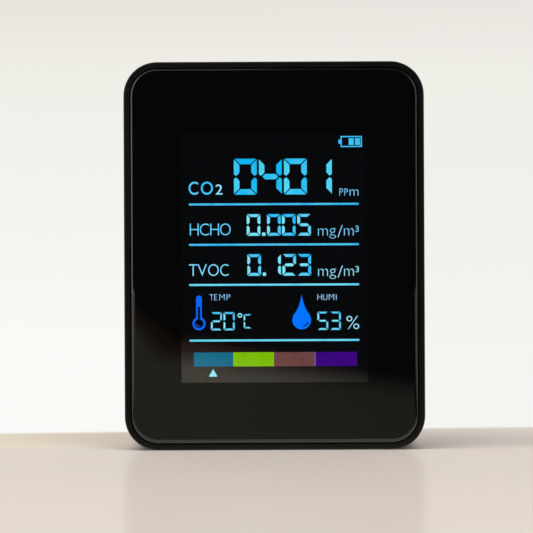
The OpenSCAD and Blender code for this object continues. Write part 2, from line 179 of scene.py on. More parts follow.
def moulded(name, colour, rough, grain=0.0004, depth=0.00002, vary=0.12, metallic=0.0, **extra):
    """A plain surface with a fine grain, uneven gloss and a little drift in its colour."""
    n = Nodes(name)
    fine = n.noise(1 / grain, 4)
    broad = n.noise(90, 3)
    base = n.blend(n.ramp(broad, 0.3, 0.7), [c * (1 - vary) for c in colour[:3]] + [1],
                   [min(1, c * (1 + vary)) for c in colour[:3]] + [1])
    gloss = n.math("ADD", n.ramp(broad, 0.3, 0.7, rough - 0.04, rough + 0.04),
                   n.ramp(fine, 0.3, 0.7, -0.03, 0.03))
    shader = n.add("ShaderNodeBsdfPrincipled", Base_Color=base, Roughness=gloss, Metallic=metallic,
                   Normal=n.bump(fine, depth, 0.6))
    for key, value in extra.items():
        n.put(shader.inputs[key.replace("_", " ")], value)
    return n.surface(shader)


def housing_plastic(name, colour, rough):
    """Black injection-moulded plastic with a spark-eroded texture, rubbed paler and smoother on edges."""
    n = Nodes(name)
    place = n.place()
    pits = n.add("ShaderNodeTexVoronoi", {"feature": "SMOOTH_F1"}, Scale=3600, Vector=place).outputs[0]
    grain = n.noise(5200, 3, 0.6, place)
    broad = n.noise(45, 4, 0.6, place)
    height = n.math("ADD", n.math("MULTIPLY", pits, 0.6), grain)
    edge = n.add("ShaderNodeBevel", {"samples": 4}, Radius=0.0005)
    normal = n.add("ShaderNodeNewGeometry").outputs["Normal"]
    turn = n.add("ShaderNodeVectorMath", {"operation": "DOT_PRODUCT"})
    n.put(turn.inputs[0], edge.outputs[0])
    n.put(turn.inputs[1], normal)
    worn = n.math("MULTIPLY", n.ramp(turn.outputs["Value"], 0.995, 0.9), n.ramp(broad, 0.4, 0.65))
    dark = n.blend(n.ramp(broad, 0.35, 0.65), [c * 0.85 for c in colour] + [1],
                   [c * 1.15 for c in colour] + [1])
    base = n.blend(worn, dark, [c * 2.2 for c in colour] + [1])
    gloss = n.math("ADD", n.ramp(broad, 0.3, 0.7, rough - 0.05, rough + 0.05),
                   n.ramp(grain, 0.35, 0.65, -0.05, 0.05))
    gloss = n.math("SUBTRACT", gloss, n.math("MULTIPLY", worn, 0.12))
    return n.surface(n.add("ShaderNodeBsdfPrincipled", Base_Color=base, Roughness=gloss,
                           Specular_IOR_Level=0.15, Normal=n.bump(height, 0.000018, 0.55)))


def display_opening():
    """Half the width of the opening in the window's print, and the heights of its two long edges."""
    corners = [v.co for v in frame["nodes"]["window_mask"].data.vertices]
    half = min(abs(c.x) for c in corners)
    heights = [c.z for c in corners if abs(abs(c.x) - half) < 0.01 * MM]
    return half, min(heights), max(heights)


def clear_window(name):
    """The polished pane: clear over the display, and as black as the print behind it elsewhere. Its
    gloss is very slightly uneven."""
    n = Nodes(name)
    smear = n.noise(60, 4, 0.65)
    half, low, high = display_opening()
    xyz = n.add("ShaderNodeSeparateXYZ", Vector=n.place()).outputs
    across = n.math("LESS_THAN", n.math("ABSOLUTE", xyz["X"]), half)
    middle = n.math("ABSOLUTE", n.math("SUBTRACT", xyz["Z"], (low + high) / 2))
    clear = n.math("MULTIPLY", across, n.math("LESS_THAN", middle, (high - low) / 2))
    base = n.blend(clear, (0.0012, 0.0016, 0.0015, 1), (1, 1, 1, 1))
    return n.surface(n.add("ShaderNodeBsdfPrincipled", Base_Color=base, IOR=1.5,
                           Transmission_Weight=clear, Roughness=n.ramp(smear, 0.55, 0.8, 0.0, 0.03)))


def black_print(name):
    """Opaque screen print on the back of the pane."""
    n = Nodes(name)
    specks = n.noise(2400, 2)
    base = n.blend(specks, (0.005, 0.0062, 0.006, 1), (0.006, 0.0072, 0.007, 1))
    return n.surface(n.add("ShaderNodeBsdfPrincipled", Base_Color=base, Roughness=0.9,
                           Specular_IOR_Level=0.0))


def polariser_film(name):
    """The display's dark front film, with a hint of the backlight leaking through."""
    n = Nodes(name)
    broad = n.noise(55, 2)
    glow = n.blend(broad, (0.0, 0.0001, 0.0006, 1), (0.0001, 0.0006, 0.0014, 1))
    return n.surface(n.add("ShaderNodeBsdfPrincipled", Base_Color=(0.002, 0.002, 0.0025, 1),
                           Roughness=n.ramp(broad, 0.3, 0.7, 0.02, 0.06), IOR=1.6,
                           Specular_IOR_Level=0.9, Emission_Color=glow, Emission_Strength=1.0))


def brushed_metal(name, colour, rough, along=(1, 1, 14)):
    """Plated sheet metal with fine drawn lines."""
    n = Nodes(name)
    mapping = n.add("ShaderNodeMapping", Vector=n.place(), Scale=along)
    lines = n.noise(900, 4, 0.6, mapping.outputs[0])
    broad = n.noise(140, 3)
    base = n.blend(n.ramp(broad, 0.3, 0.7), [c * 0.85 for c in colour] + [1], list(colour) + [1])
    return n.surface(n.add("ShaderNodeBsdfPrincipled", Base_Color=base, Metallic=1.0,
                           Roughness=n.ramp(lines, 0.3, 0.7, rough - 0.08, rough + 0.1),
                           Normal=n.bump(lines, 0.000012, 0.4)))


def circuit_board(name, mask, track):
    """Solder mask over copper tracks, with plated dots where the tracks turn."""
    n = Nodes(name)
    place = n.place()
    upright = n.add("ShaderNodeMapping", Vector=place, Rotation=(math.pi / 2, 0, 0)).outputs[0]
    cells = n.add("ShaderNodeTexBrick", {"offset": 0.37, "squash": 1.0}, Vector=upright,
                  Scale=260.0, Mortar_Size=0.03,
                  Color1=(0, 0, 0, 1), Color2=(0, 0, 0, 1), Mortar=(1, 1, 1, 1))
    dots = n.add("ShaderNodeTexVoronoi", Vector=place, Scale=300.0).outputs["Distance"]
    plated = n.ramp(dots, 0.16, 0.13)
    base = n.blend(n.ramp(cells.outputs["Fac"], 0.2, 0.8), mask, track)
    base = n.blend(plated, base, (0.7, 0.62, 0.42, 1))
    return n.surface(n.add("ShaderNodeBsdfPrincipled", Base_Color=base,
                           Metallic=n.math("MULTIPLY", plated, 0.9), Roughness=0.35, Coat_Weight=0.3,
                           Normal=n.bump(cells.outputs["Fac"], 0.00003, 0.5)))


def lit_film(name, pale, deep, strength=1.0, stripes=0.0):
    """A lit part of the display. Its tint attribute runs from the pale colour to the deep one, and
    stripes adds the fine lines that run across a tinted film."""
    n = Nodes(name)
    tint = n.add("ShaderNodeAttribute", {"attribute_name": "tint"}).outputs["Fac"]
    cloud = n.noise(420, 3, 0.6)
    drift = n.math("ADD", tint, n.ramp(cloud, 0.3, 0.7, -0.22, 0.22))
    if stripes:
        height = n.add("ShaderNodeSeparateXYZ", Vector=n.place()).outputs["Z"]
        wave = n.math("SINE", n.math("MULTIPLY", height, 2 * math.pi / (0.45 * MM)))
        drift = n.math("ADD", drift, n.math("MULTIPLY", wave, stripes))
    drift = n.math("MINIMUM", n.math("MAXIMUM", drift, 0.0), 1.0)
    colour = n.blend(drift, pale, deep)
    return n.surface(n.add("ShaderNodeBsdfPrincipled", Base_Color=(0.003, 0.003, 0.004, 1),
                           Roughness=0.5, Specular_IOR_Level=0.0,
                           Emission_Color=colour, Emission_Strength=strength))


def show(name, mesh, material):
    """Puts a mesh of one material into the scene."""
    thing = bpy.data.objects.new(name, mesh)
    thing.data.materials.append(material)
    bpy.context.scene.collection.objects.link(thing)
    return thing


# ---- display drawing, in millimetres: across from the centre line, and up from the base ----

def arc(cx, cz, r, start, end, steps):
    """Points on a circle, from one angle to another, in degrees."""
    return [(cx + r * math.cos(math.radians(start + (end - start) * i / steps)),
             cz + r * math.sin(math.radians(start + (end - start) * i / steps)))
            for i in range(steps + 1)]


def circle(cx, cz, r, steps=28):
    return arc(cx, cz, r, 0, 360 - 360 / steps, steps - 1)


def box(x0, z0, x1, z1):
    return [(x0, z0), (x1, z0), (x1, z1), (x0, z1)]


def stroke(points, width):
    """An open line of even width, square at its ends, as one outline."""
    half = width / 2
    left, right = [], []
    for i, (x, z) in enumerate(points):
        ax, az = points[max(i - 1, 0)]
        bx, bz = points[min(i + 1, len(points) - 1)]
        dx, dz = bx - ax, bz - az
        length = math.hypot(dx, dz)
        nx, nz = -dz / length * half, dx / length * half
        left.append((x + nx, z + nz))
        right.append((x - nx, z - nz))
    return left + right[::-1]


def slab(work, loops, front, depth):
    """Adds one closed slab to work, from an outline or from an outline and its holes, and gives its
    faces."""
    rings = [[work.verts.new((x * MM, y, z * MM)) for loop in loops for x, z in loop]
             for y in (front, front + depth)]
    faces = []
    for corners in tessellate_polygon([[Vector((x, z, 0)) for x, z in loop] for loop in loops]):
        faces.append(work.faces.new([rings[0][i] for i in corners]))
        faces.append(work.faces.new([rings[1][i] for i in reversed(corners)]))
    start = 0
    for loop in loops:
        count = len(loop)
        for i in range(count):
            j = start + (i + 1) % count
            k = start + i
            faces.append(work.faces.new([rings[0][k], rings[0][j], rings[1][j], rings[1][k]]))
        start += count
    return faces


class Drawing:
    """Gathers flat shapes, then makes them one thin mesh piece."""

    def __init__(self):
        self.shapes = []

    def add(self, loops, tint=0.0):
        """One outline, or an outline followed by its holes."""
        if isinstance(loops[0][0], (int, float)):
            loops = [loops]
        self.shapes.append((loops, tint))
        return self

    def piece(self, name, material, front, depth, body=HOUSING, slot="printed_film"):
        """Makes the piece. front is the depth of its front face, in metres."""
        mesh = bpy.data.meshes.new(name)
        work = bmesh.new()
        tint_layer = work.faces.layers.float.new("tint")
        for loops, tint in self.shapes:
            for face in slab(work, loops, front, depth):
                face[tint_layer] = tint
        bmesh.ops.recalc_face_normals(work, faces=work.faces)
        work.to_mesh(mesh)
        work.free()
        thing = show(name, mesh, material)
        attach(thing, body)


SEGMENTS = {"0": "abcdef", "1": "bc", "2": "abged", "3": "abgcd", "4": "fgbc", "5": "afgcd",
            "C": "adef"}
SEGMENT_TINT = {"a": 0.8, "b": 0.7, "c": 0.65, "d": 0.55, "e": 0.1, "f": 0.15, "g": 0.3}


def segment_outlines(x, z, w, h, t, gap):
    """The seven mitred bars of one figure."""
    m = h / 2
    s = gap * 0.7
    tip = t / 2
    low, high = m - s, m + s
    left = {
        "f": [(0, h - s), (0, high + t * 0.3), (t * 0.4, high), (t, high + t * 0.6), (t, h - t - s)],
        "e": [(0, s), (t, t + s), (t, low - t * 0.6), (t * 0.4, low), (0, low - t * 0.3)],
    }
    bars = {
        "a": [(s, h), (t + s, h - t), (w - t - s, h - t), (w - s, h)],
        "d": [(s, 0), (w - s, 0), (w - t - s, t), (t + s, t)],
        "g": [(tip + s, m), (t + s, m - tip), (w - t - s, m - tip), (w - tip - s, m),
              (w - t - s, m + tip), (t + s, m + tip)],
        "b": [(w - px, pz) for px, pz in left["f"]],
        "c": [(w - px, pz) for px, pz in left["e"]],
        **left,
    }
    return {key: [(x + px, z + pz) for px, pz in points] for key, points in bars.items()}


def figures(drawing, marks, size):
    """Seven-segment figures of one size, each with its own place and tint."""
    for figure, x, z, tint in marks:
        bars = segment_outlines(x, z, *size)
        for key in SEGMENTS[figure]:
            drawing.add(bars[key], SEGMENT_TINT[key] + tint)


def glyph(char, weight):
    """One letter of Blender's own plain font, as the points and faces of a slab."""
    data = bpy.data.curves.new("glyph", "FONT")
    data.body = char
    data.offset = weight
    data.extrude = 0.5
    data.resolution_u = 6
    thing = bpy.data.objects.new("glyph", data)
    bpy.context.scene.collection.objects.link(thing)
    shown = thing.evaluated_get(bpy.context.evaluated_depsgraph_get())
    mesh = bpy.data.meshes.new_from_object(shown)
    points = [tuple(v.co) for v in mesh.vertices]
    faces = [tuple(f.vertices) for f in mesh.polygons]
    bpy.data.objects.remove(thing)
    bpy.data.curves.remove(data)
    bpy.data.meshes.remove(mesh)
    return points, faces


def lettering(name, marks, material, front, depth):
    """Generic quantity and unit marks: each letter is fitted to its own box on the display."""
    verts, faces, tints = [], [], []
    for char, x0, x1, z0, z1, weight, tint in marks:
        points, polygons = glyph(char, weight)
        lo = [min(p[i] for p in points) for i in range(3)]
        hi = [max(p[i] for p in points) for i in range(3)]
        base = len(verts)
        for p in points:
            u = (p[0] - lo[0]) / (hi[0] - lo[0])
            v = (p[1] - lo[1]) / (hi[1] - lo[1])
            w = (p[2] - lo[2]) / (hi[2] - lo[2])
            verts.append(((x0 + u * (x1 - x0)) * MM, front + depth * (1 - w), (z0 + v * (z1 - z0)) * MM))
        faces += [tuple(base + i for i in polygon) for polygon in polygons]
        tints += [tint] * len(polygons)
    mesh = bpy.data.meshes.new(name)
    mesh.from_pydata(verts, [], faces)
    layer = mesh.attributes.new("tint", "FLOAT", "FACE")
    for i, tint in enumerate(tints):
        layer.data[i].value = tint
    work = bmesh.new()
    work.from_mesh(mesh)
    bmesh.ops.remove_doubles(work, verts=work.verts, dist=1e-9)
    bmesh.ops.recalc_face_normals(work, faces=work.faces)
    work.to_mesh(mesh)
    work.free()
    thing = show(name, mesh, material)
    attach(thing, HOUSING)


def word(chars, places, z0, z1, weight, tint):
    """Letters of one height, each with its own left and right edge."""
    return [(char, x0, x1, z0, z1, weight, tint) for char, (x0, x1) in zip(chars, places)]


def curve(a, b, c, d, steps=14):
    """Points along a Bezier curve, after its first."""
    points = []
    for i in range(1, steps + 1):
        t = i / steps
        weights = ((1 - t) ** 3, 3 * t * (1 - t) ** 2, 3 * t * t * (1 - t), t ** 3)
        points.append(tuple(sum(w * p[k] for w, p in zip(weights, (a, b, c, d))) for k in (0, 1)))
    return points


def drop_outline(cx, bottom, top, r):
    """A falling drop: a round belly, with sides that curve in to a point."""
    shoulder = 30
    cz = bottom + r
    belly = arc(0, cz, r, -90, shoulder, 18)
    out_x, out_z = belly[-1]
    turn = math.radians(shoulder)
    reach = 0.5 * r
    side = curve((out_x, out_z), (out_x - reach * math.sin(turn), out_z + reach * math.cos(turn)),
                 (0.25 * r, top - 1.5 * r), (0.0, top))
    right = belly + side
    left = [(-x, z) for x, z in right[1:-1]][::-1]
    return [(cx + x, z) for x, z in right + left]


# How thick the lit marks are, and how far their fronts stand before the display's film, in metres.
MARK_DEPTH = 0.03 * MM
MARK_GAP = 0.05 * MM

# Width, height, bar thickness and gap between the bars, for each size of figure.
MAIN_SIZE = (5.02, 7.88, 1.2, 0.24)
SMALL_SIZE = (2.99, 4.74, 0.63, 0.2)
TEMPERATURE_SIZE = (2.44, 4.0, 0.4, 0.22)
DEGREE_SIZE = (1.74, 3.14, 0.33, 0.18)
HUMIDITY_SIZE = (2.36, 4.0, 0.4, 0.22)

# Heights of the rows of small figures and of their units.
HCHO_ROW, TVOC_ROW, CLIMATE_ROW = 47.07, 38.27, 26.31
UNIT_ROWS = ((47.04, 0.7), (38.17, 0.1))


def mark_front():
    """The depth of the lit marks' front faces, just before the display's film."""
    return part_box("front_polariser")[0].y - MARK_GAP


def draw_main_figures():
    """The CO2 reading."""
    marks = [("0", -8.8, 0.3), ("4", -3.3, 0.3), ("0", 2.2, 0.05), ("1", 7.7, -0.45)]
    material = lit_film("lit_digits", linear(92, 226, 252), linear(14, 186, 246))
    digits = Drawing()
    figures(digits, [(figure, x, 56.12, tint) for figure, x, tint in marks], MAIN_SIZE)
    digits.piece("display_main_figures", material, mark_front(), MARK_DEPTH)


def draw_small_figures():
    """The HCHO and TVOC readings with their points, and the temperature and the humidity."""
    material = lit_film("lit_small_digits", linear(140, 238, 252), linear(42, 192, 252))
    small = Drawing()
    figures(small, [("0", -6.03, HCHO_ROW, -0.4), ("0", -1.56, HCHO_ROW, 0.25),
                    ("0", 1.7, HCHO_ROW, 0.25), ("5", 5.08, HCHO_ROW, -0.05),
                    ("0", -5.93, TVOC_ROW, 0.1), ("1", -1.55, TVOC_ROW, -0.5),
                    ("2", 1.77, TVOC_ROW, -0.1), ("3", 5.08, TVOC_ROW, 0.1)], SMALL_SIZE)
    small.add(box(-2.66, 47.06, -1.95, 47.77))
    small.add(box(-2.55, 38.26, -1.85, 38.97))
    figures(small, [("2", -14.0, CLIMATE_ROW, 0.0), ("0", -11.22, CLIMATE_ROW, 0.0)],
            TEMPERATURE_SIZE)
    figures(small, [("C", -6.8, 26.71, 0.0)], DEGREE_SIZE)
    figures(small, [("5", 9.41, CLIMATE_ROW, 0.0), ("3", 12.2, CLIMATE_ROW, 0.0)], HUMIDITY_SIZE)
    small.add([circle(-7.62, 29.57, 0.52), circle(-7.62, 29.57, 0.25)], 0.1)
    small.piece("display_small_figures", material, mark_front(), MARK_DEPTH)


def draw_lines():
    """The four dividing lines, round at the left and square at the right."""
    half = 0.22
    lines = Drawing()
    for z, tint in ((54.0, 0.7), (45.12, 0.7), (36.3, 0.1), (24.08, 0.1)):
        lines.add(arc(-18.55, z, half, 90, 270, 8) + [(18.6, z - half), (18.6, z + half)], tint)
    material = lit_film("lit_lines", linear(112, 226, 250), linear(30, 176, 242))
    lines.piece("display_lines", material, mark_front(), MARK_DEPTH)


def draw_labels(material):
    """The names of the three gases."""
    labels = word("CO", ((-18.77, -16.65), (-16.08, -13.42)), 56.16, 59.0, 0.004, 0.9)
    labels += word("2", ((-12.85, -11.33),), 56.16, 58.4, 0.004, -0.2)
    labels += word("HCHO", ((-18.56, -16.6), (-16.36, -14.32), (-14.06, -12.12), (-11.9, -9.57)),
                   47.2, 49.8, -0.014, 0.6)
    labels += word("TVOC", ((-18.77, -16.95), (-16.9, -14.85), (-14.56, -12.22), (-11.92, -10.05)),
                   38.28, 40.85, -0.012, 0.25)
    lettering("display_labels", labels, material, mark_front(), MARK_DEPTH)


def draw_units():
    """The units beside the readings, and the percent sign."""
    material = lit_film("lit_pale_labels", linear(164, 234, 255), linear(116, 202, 252))
    units = word("PP", ((14.36, 15.16), (15.46, 16.26)), 55.82, 57.38, -0.012, 0.9)
    units += word("m", ((16.62, 18.56),), 55.82, 57.16, -0.012, 0.9)
    for z, tint in UNIT_ROWS:
        units += word("m", ((9.62, 11.78),), z, z + 1.58, -0.018, tint)
        units += word("g", ((12.1, 13.56),), z - 0.64, z + 1.58, -0.018, tint)
        units += word("/", ((13.9, 15.04),), z - 0.35, z + 2.25, -0.014, tint)
        units += word("m", ((15.33, 17.47),), z, z + 1.58, -0.018, tint)
        units += word("3", ((17.82, 18.58),), z + 0.79, z + 2.13, 0.0, tint)
    units += word("%", ((15.78, 18.6),), 26.47, 29.35, -0.012, 0.0)
    lettering("display_units", units, material, mark_front(), MARK_DEPTH)


def draw_captions():
    """The small words over temperature and humidity, lit harder because they are so thin."""
    material = lit_film("lit_captions", linear(150, 206, 255), linear(132, 181, 224), 2.3)
    captions = word("TEMP", ((-14.3, -13.42), (-13.22, -12.55), (-12.1, -10.98), (-10.52, -9.76)),
                    32.97, 34.21, -0.03, 0.5)
    captions += word("HUMI", ((9.48, 10.4), (10.74, 11.58), (11.98, 13.06), (13.54, 13.62)),
                     32.92, 34.16, -0.03, 0.1)
    lettering("display_captions", captions, material, mark_front(), MARK_DEPTH)


def draw_battery(material):
    """A battery's frame with its cap, and two full cells."""
    battery = Drawing()
    battery.add([box(14.68, 66.48, 19.36, 68.9), box(14.93, 66.73, 19.11, 68.65)], 1.0)
    battery.add(box(14.2, 67.24, 14.68, 68.14), 1.0)
    for x in (16.46, 17.84):
        battery.add(box(x, 66.95, x + 1.1, 68.43), 1.0)
    battery.piece("display_battery_mark", material, mark_front(), MARK_DEPTH)


def bulb_outline(cx, cz, r, half, top, steps, end_steps):
    """A round bulb under a stem. half is half the stem's width, and top is the middle of its end."""
    join = math.degrees(math.asin(half / r))
    return arc(cx, cz, r, 90 + join, 450 - join, steps) + arc(cx, top, half, 0, 180, end_steps)


def draw_icons():
    """A thermometer, and a falling drop with a gleam left out of it."""
    bulb = (-16.62, 27.8)
    drop_x = 5.95
    icons = Drawing()
    icons.add([bulb_outline(*bulb, 1.44, 0.63, 33.34, 40, 14),
               bulb_outline(*bulb, 0.98, 0.26, 31.3, 32, 8)], 0.9)
    icons.add(stroke(arc(*bulb, 0.62, 185, 290, 10), 0.16), 0.8)
    gleam = stroke(arc(drop_x, 28.5, 1.42, -76, -18, 10), 0.3)
    icons.add([drop_outline(drop_x, 26.45, 34.14, 2.05), gleam], 0.1)
    material = lit_film("lit_icons", linear(0, 116, 255), linear(8, 99, 243), 1.08)
    icons.piece("display_icons", material, mark_front(), MARK_DEPTH)


def draw_bars():
    """The four fields of the air quality scale, with a pale seam before the last."""
    low, high = 18.36, 21.46
    edges = (-17.78, -9.12, -0.18, 8.76, 18.05)
    tones = {
        "teal": (linear(0, 110, 142), linear(0, 92, 120)),
        "lime": (linear(132, 198, 0), linear(112, 174, 0)),
        "brown": (linear(112, 72, 70), linear(92, 56, 54)),
        "violet": (linear(62, 2, 132), linear(50, 2, 108)),
    }
    for (tone, colours), x0, x1 in zip(tones.items(), edges, edges[1:]):
        cell = Drawing().add(box(x0, low, x1, high), 0.2)
        cell.piece(f"display_bar_{tone}", lit_film(f"lit_{tone}", *colours, stripes=0.3),
                   mark_front(), MARK_DEPTH)
    seam = Drawing().add(box(edges[3], low, edges[3] + 0.2, high))
    seam.piece("display_bar_seam", lit_film("lit_seam", linear(132, 100, 168), linear(120, 90, 150)),
               mark_front() - MARK_DEPTH, MARK_DEPTH)


def draw_pointer():
    """The small triangle under the first field."""
    pointer = Drawing().add([(-14.5, 16.14), (-12.62, 16.14), (-13.56, 17.8)])
    material = lit_film("lit_pointer", linear(150, 242, 248), linear(150, 228, 250))
    pointer.piece("display_pointer", material, mark_front(), MARK_DEPTH)


def draw_display():
    """Everything that is lit on the display, just in front of its film."""
    label_material = lit_film("lit_labels", linear(147, 228, 255), linear(53, 194, 250), 1.05)
    draw_main_figures()
    draw_small_figures()
    draw_lines()
    draw_labels(label_material)
    draw_units()
    draw_captions()
    draw_battery(label_material)
    draw_icons()
    draw_bars()
    draw_pointer()


# ---- materials of the CAD nodes ----

def dress_nodes():
    """Gives every CAD node the material of its slot in the record."""
    black = (0.0056, 0.0058, 0.0056)
    slots = {
        "housing_plastic": housing_plastic("housing_plastic", black, 0.42),
        "window_clear": clear_window("window_clear"),
        "black_print": black_print("black_print"),
        "black_foam": moulded("black_foam", (0.01, 0.01, 0.01), 0.9, 0.0003, 0.00006),
        "polariser": polariser_film("polariser"),
        "display_glass": moulded("display_glass", (0.02, 0.02, 0.024), 0.12, 0.002, 0.000001),
        "printed_film": moulded("printed_film", (0.1, 0.35, 0.6), 0.3, 0.0006, 0.000004),
        "white_film": moulded("white_film", (0.86, 0.86, 0.86), 0.5, 0.0006, 0.000006),
        "clear_acrylic": moulded("clear_acrylic", (0.8, 0.88, 0.92), 0.15, 0.001, 0.000003),
        "white_plastic": moulded("white_plastic", (0.78, 0.78, 0.74), 0.45),
        "led_resin": moulded("led_resin", (0.85, 0.8, 0.4), 0.2),
        "amber_flex": moulded("amber_flex", (0.45, 0.18, 0.03), 0.3, 0.0005, 0.00001,
                              Coat_Weight=0.4),
        "ivory_plastic": moulded("ivory_plastic", (0.72, 0.68, 0.56), 0.45),
        "circuit_board": circuit_board("circuit_board", (0.004, 0.07, 0.025, 1),
                                       (0.012, 0.14, 0.05, 1)),
        "chip_resin": moulded("chip_resin", (0.02, 0.02, 0.022), 0.55, 0.0002, 0.00002),
        "small_ceramic": moulded("small_ceramic", (0.42, 0.3, 0.18), 0.4),
        "ferrite": moulded("ferrite", (0.05, 0.05, 0.055), 0.6, 0.0003, 0.00004),
        "can_steel": brushed_metal("can_steel", (0.62, 0.62, 0.64), 0.28),
        "blue_board": circuit_board("blue_board", (0.004, 0.02, 0.12, 1), (0.01, 0.05, 0.22, 1)),
        "gold_plating": moulded("gold_plating", (0.75, 0.55, 0.22), 0.3, 0.0004, 0.000012,
                                metallic=1.0),
        "white_membrane": moulded("white_membrane", (0.85, 0.85, 0.82), 0.85, 0.00015, 0.00003),
        "gold_pins": moulded("gold_pins", (0.8, 0.58, 0.2), 0.22, metallic=1.0),
        "battery_foil": moulded("battery_foil", (0.6, 0.61, 0.63), 0.34, 0.0009, 0.00003,
                                metallic=1.0),
        "red_insulation": moulded("red_insulation", (0.5, 0.01, 0.008), 0.35),
        "black_insulation": moulded("black_insulation", (0.01, 0.01, 0.01), 0.35),
        "port_steel": brushed_metal("port_steel", (0.66, 0.66, 0.68), 0.22, (14, 1, 1)),
        "port_plastic": moulded("port_plastic", (0.012, 0.012, 0.012), 0.4),
        "plunger_plastic": moulded("plunger_plastic", (0.1, 0.1, 0.11), 0.4),
        "button_plastic": housing_plastic("button_plastic", (0.016, 0.016, 0.0168), 0.42),
        "screw_steel": brushed_metal("screw_steel", (0.4, 0.4, 0.42), 0.3, (1, 1, 1)),
    }
    for entry in frame["record"]["subparts"]:
        node = frame["nodes"][entry["node"]]
        material = slots[entry["material_slot"]]
        for holder in node.material_slots:
            holder.material = material
    return slots


# ---- small pieces on the back and in the port ----

def button_marks():
    """Plain raised marks on the two button caps: a ring with a stem for power, and a ring round a
    dot for set."""
    ring = 1.25
    material = moulded("mark_paint", (0.34, 0.34, 0.35), 0.5)
    for body in ("power_button", "set_button"):
        lo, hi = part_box(body)
        cx = (lo.x + hi.x) / 2 / MM
        cz = (lo.z + hi.z) / 2 / MM
        mark = Drawing()
        if body == "power_button":
            mark.add(stroke(arc(cx, cz, ring, 125, 415, 30), 0.32))
            mark.add(box(cx - 0.16, cz + 0.35, cx + 0.16, cz + 1.7))
        else:
            mark.add([circle(cx, cz, ring), circle(cx, cz, ring - 0.32)])
            mark.add(circle(cx, cz, 0.38, 16))
        mark.piece(f"{body}_mark", material, hi.y - 0.01 * MM, 0.05 * MM, body, "button_plastic")


CONTACTS = 12
CONTACT_PITCH = 0.5 * MM
CONTACT_HALF_WIDTH = 0.13 * MM
CONTACT_SUNK = 0.01 * MM
CONTACT_PROUD = 0.04 * MM
TONGUE_HALF = 0.35 * MM


def port_contacts(slots):
    """Gold contact strips on both faces of the charging port's tongue, pointed at the mouth."""
    lo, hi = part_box("usb_port_tongue")
    mid_y = (lo.y + hi.y) / 2
    mid_z = (lo.z + hi.z) / 2
    tail, shoulder, tip = hi.x - 3.6 * MM, hi.x - 0.5 * MM, hi.x - 0.3 * MM
    half = CONTACT_HALF_WIDTH
    outline = [(tail, -half), (shoulder, -half), (tip, 0.0), (shoulder, half), (tail, half)]
    count = len(outline)
    work = bmesh.new()
    for side in SIDES:
        for i in range(CONTACTS):
            z = mid_z + (i - (CONTACTS - 1) / 2) * CONTACT_PITCH
            y = mid_y + side * TONGUE_HALF
            verts = [work.verts.new((x, y + side * rise, z + edge))
                     for rise in (-CONTACT_SUNK, CONTACT_PROUD) for x, edge in outline]
            work.faces.new(verts[:count])
            work.faces.new(verts[count:][::-1])
            for k in range(count):
                j = (k + 1) % count
                work.faces.new([verts[k], verts[j], verts[count + j], verts[count + k]])
    bmesh.ops.recalc_face_normals(work, faces=work.faces)
    mesh = bpy.data.meshes.new("port_contacts")
    work.to_mesh(mesh)
    work.free()
    thing = show("port_contacts", mesh, slots["gold_pins"])
    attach(thing, HOUSING)


# ---- stage: floor, backdrop, light ----

TABLE_COLOUR = (0.745, 0.666, 0.603, 1)
TABLE_BACK = 0.047
TABLE_SKEW = 0.11
WALL_DISTANCE = 0.75

# Painted reflection tones, in linear light: emission on the floor that only reflection rays see, standing
# in for the table and the room before it as polished surfaces show them. Where there are two, they are
# for the left and for the right.
NEAR_TONE = (1.1, 1.05, 0.95, 1)
PALE_TONES = ((0.35, 0.33, 0.255, 1), (0.255, 0.24, 0.2, 1))
SIDE_TONES = ((1.25, 1.21, 1.14, 1), (0.85, 0.83, 0.8, 1))
WARM_TONE = (0.13, 0.06, 0.045, 1)
DARK_TONE = (0.013, 0.013, 0.013, 1)


def stage_plane(name, corners, material):
    """A flat piece of the stage."""
    mesh = bpy.data.meshes.new(name)
    mesh.from_pydata(corners, [], [(0, 1, 2, 3)])
    show(name, mesh, material)


def painted_reflection_floor(n, xyz):
    """Painted reflection: emission tones that only reflection rays see on the floor, standing in for what
    a polished surface shows of the table and the room before it: bright right at the object and out at
    its sides, pale in front of it, then dark past a soft slanting edge, with a dim warm patch along the
    left of that edge."""
    bend = n.math("MINIMUM", n.math("ADD", xyz["X"], 0.05), 0.0)
    slant = n.math("SUBTRACT", xyz["Y"], n.math("MULTIPLY", xyz["X"], 3.0))
    slant = n.math("SUBTRACT", slant, n.math("MULTIPLY", bend, 10.0))
    across = n.ramp(xyz["X"], -0.05, 0.05)
    patch = n.blend(across, WARM_TONE, DARK_TONE)
    pale = n.blend(across, *PALE_TONES)
    tone = n.blend(n.ramp(slant, -0.28, -0.53), pale, patch)
    tone = n.blend(n.ramp(slant, -0.54, -0.68), tone, DARK_TONE)
    tone = n.blend(n.ramp(xyz["Y"], -0.036, -0.02), tone, NEAR_TONE)
    aside = n.math("ADD", n.math("ABSOLUTE", xyz["X"]), n.math("MULTIPLY", xyz["Y"], 0.4))
    side = n.ramp(aside, 0.12, 0.18)
    tone = n.blend(side, tone, n.blend(across, *SIDE_TONES))
    return n.add("ShaderNodeEmission", Color=tone)


